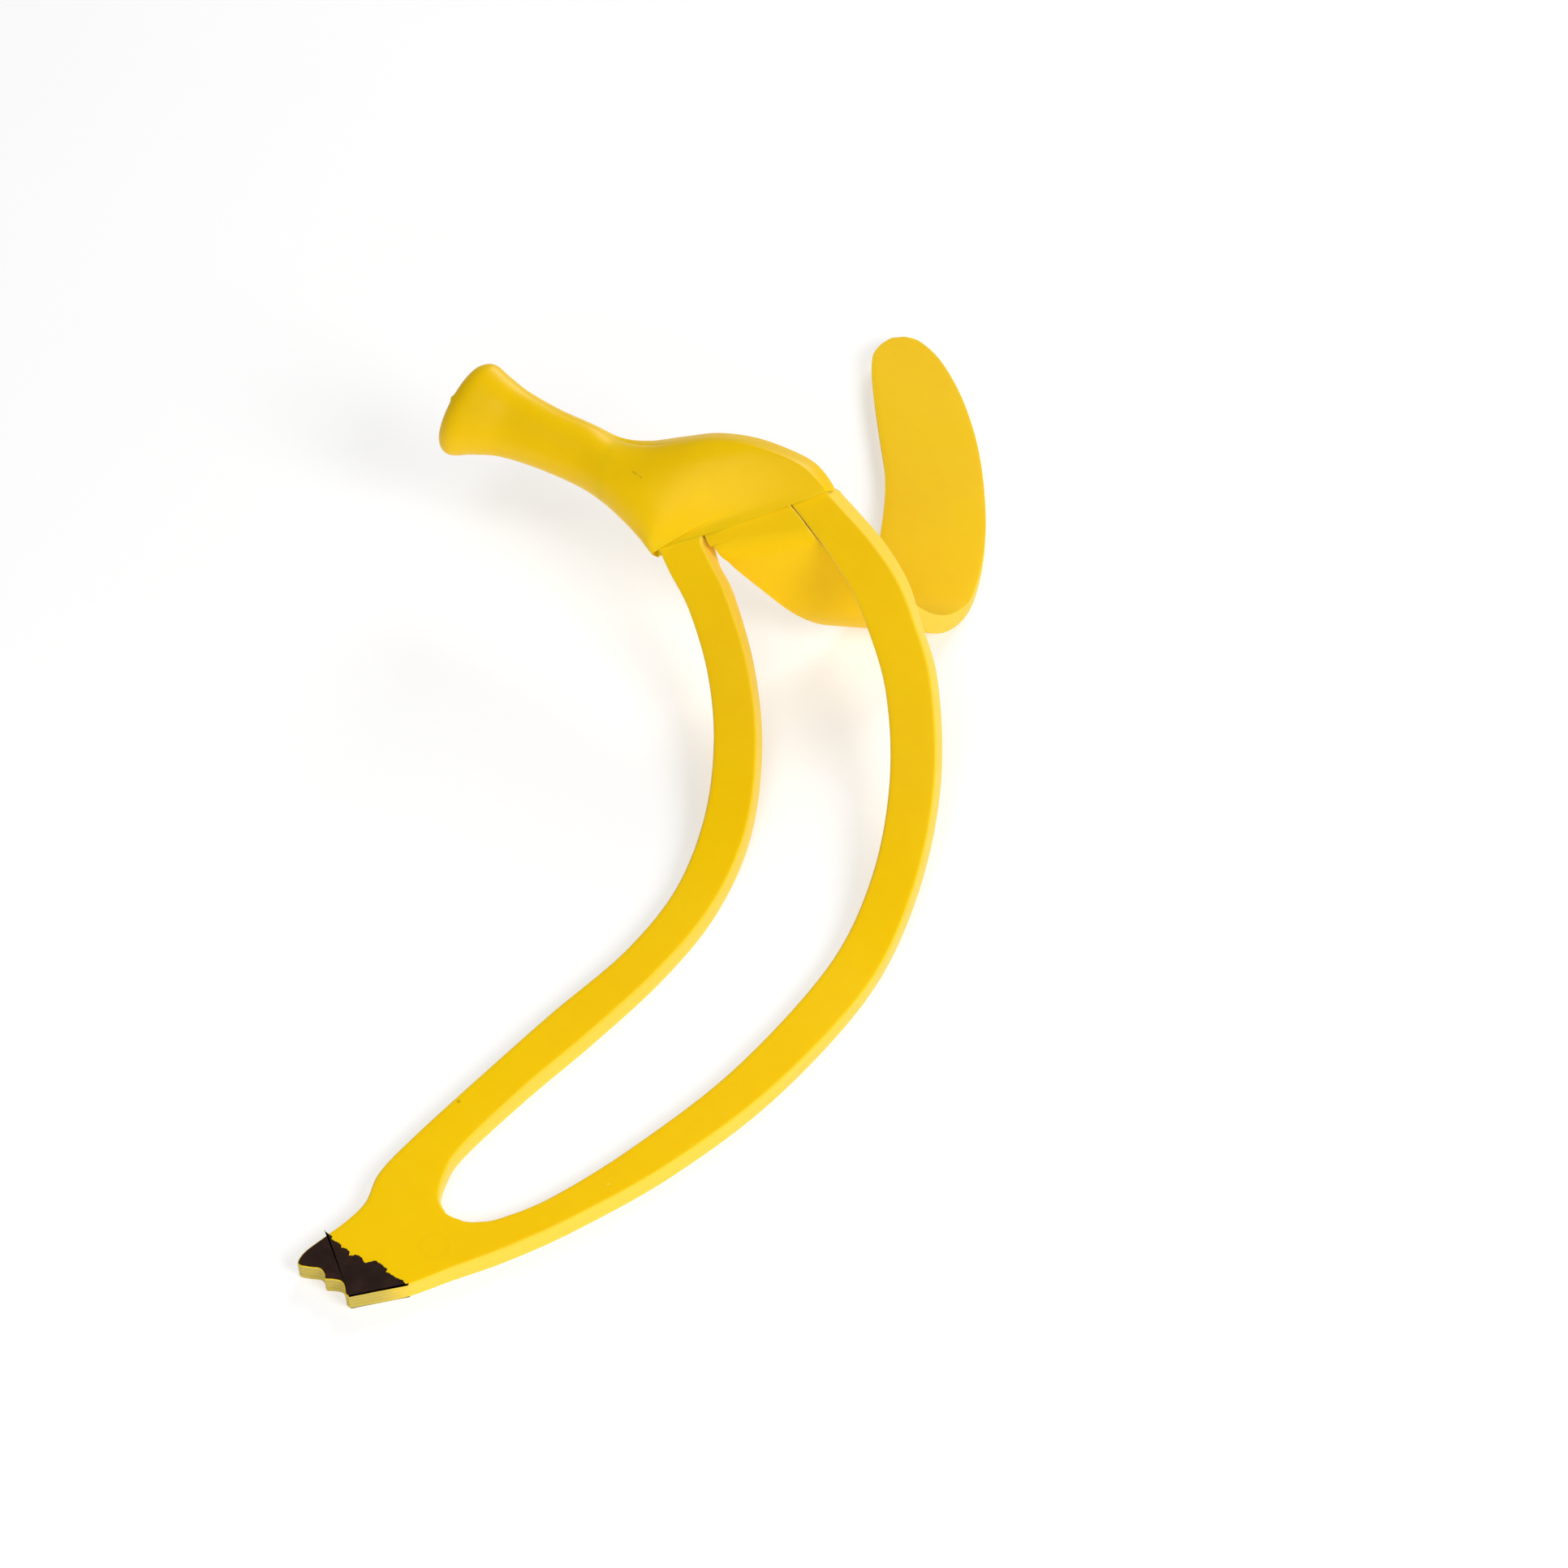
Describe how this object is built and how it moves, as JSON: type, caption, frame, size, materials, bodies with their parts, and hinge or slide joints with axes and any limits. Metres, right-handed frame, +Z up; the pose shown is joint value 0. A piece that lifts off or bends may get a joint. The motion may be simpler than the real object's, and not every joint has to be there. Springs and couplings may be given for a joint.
{
  "type": "banana peel ornament",
  "caption": "Yellow soft moulded banana peel that stands on its peels: flared stem, domed hood, long loop-shaped front peel with a dark tip, and a solid rear peel that curls under.",
  "frame": {"origin": "on the table under the solid web of the front peel's tip", "axes": "+X from the front tip towards the hood and the rear peel, +Y towards the side where the stem points, +Z up from the table"},
  "size_m": [0.2472, 0.1275, 0.0405],
  "materials": {
    "peel_yellow": "satin moulded silicone",
    "tip_brown": "matte printed ink"
  },
  "bodies": {
    "crown": {"stem": "peel_yellow", "hood": "peel_yellow", "front_peel": "peel_yellow", "tip_print_top": "tip_brown", "tip_print_underside": "tip_brown"},
    "rear": {"rear_peel": "peel_yellow"}
  },
  "joints": [
    {"name": "rear_peel_flex", "type": "hinge", "parent": "crown", "child": "rear", "pos_m": [0.14435, 0.02441, 0.02768], "axis": [0.4908, -0.7716, 0.4046], "range_deg": [-8, 25], "stiffness_Nm_per_rad": 0.8}
  ]
}
